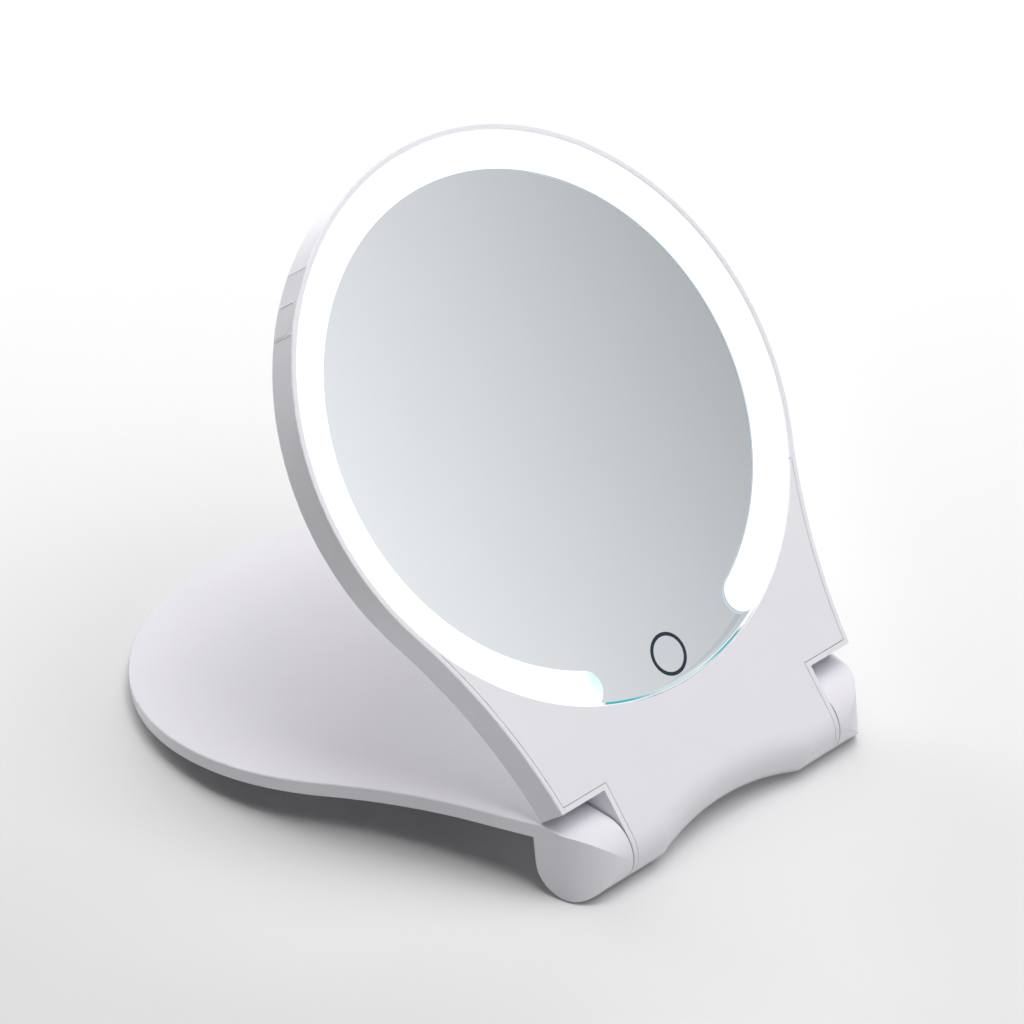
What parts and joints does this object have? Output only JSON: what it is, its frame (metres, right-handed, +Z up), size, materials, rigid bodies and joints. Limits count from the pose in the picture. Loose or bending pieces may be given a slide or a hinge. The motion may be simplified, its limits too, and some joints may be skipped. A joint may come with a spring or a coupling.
{
  "type": "lighted travel mirror",
  "caption": "Round mirror with a lit ring and a touch switch, on a leaf that tilts on a friction hinge and folds flat under its lid-shaped base.",
  "frame": {"origin": "on the floor, in the middle of the object's outline in plan", "axes": "+X along the hinge towards the object's right, +Y from the hinge to the far end of the base, +Z up"},
  "size_m": [0.158, 0.1897, 0.1573],
  "materials": {
    "white_plastic": "satin gloss, moulded",
    "mirror_glass": "polished, ground edge",
    "silvering": "silvered, painted behind",
    "touch_print": "printed line",
    "opal_plastic": "opal, diffusing",
    "white_sheet": "matt white",
    "flex_strip": "flexible circuit",
    "lamp_chip": "phosphor",
    "bond_tape": "foam tape",
    "grey_plastic": "moulded",
    "circuit_board": "solder mask",
    "black_plastic": "moulded",
    "foam": "conductive foam",
    "cell_foil": "pouch foil",
    "red_wire": "insulation",
    "white_wire": "insulation",
    "steel": "turned",
    "spring_steel": "rolled",
    "slide_plastic": "moulded",
    "foot_rubber": "soft"
  },
  "bodies": {
    "stand_base": {"base_cover": "white_plastic", "friction_sleeve_left": "spring_steel", "friction_sleeve_right": "spring_steel", "thrust_washer_left": "slide_plastic", "thrust_washer_right": "slide_plastic", "foot_pads": "foot_rubber"},
    "mirror_leaf": {"mirror_rear_shell": "white_plastic", "front_apron": "white_plastic", "mirror_glass": "mirror_glass", "mirror_coating": "silvering", "touch_ring": "touch_print", "light_diffuser": "opal_plastic", "light_reflector": "white_sheet", "led_strip": "flex_strip", "led_chips": "lamp_chip", "mirror_tape": "bond_tape", "mirror_carrier": "grey_plastic", "main_board": "circuit_board", "board_chips": "black_plastic", "touch_contact": "foam", "battery_cell": "cell_foil", "battery_leads": "red_wire", "led_lead": "white_wire", "charge_lead": "red_wire", "usb_socket": "steel", "charge_board": "circuit_board", "hinge_shaft_left": "steel", "hinge_shaft_right": "steel", "carrier_screws": "steel", "board_screws": "steel", "apron_screws": "steel"},
    "port_flap": {"port_cover": "white_plastic"}
  },
  "joints": [
    {"name": "leaf_hinge", "type": "hinge", "parent": "stand_base", "child": "mirror_leaf", "pos_m": [0, -0.08571, 0.0097], "axis": [1, 0, 0], "range_deg": [0, 301.6]},
    {"name": "port_flap_hinge", "type": "hinge", "parent": "mirror_leaf", "child": "port_flap", "pos_m": [-0.05986, 0.00076, 0.13055], "axis": [0, -0.7993, 0.6009], "range_deg": [0, 100]}
  ]
}
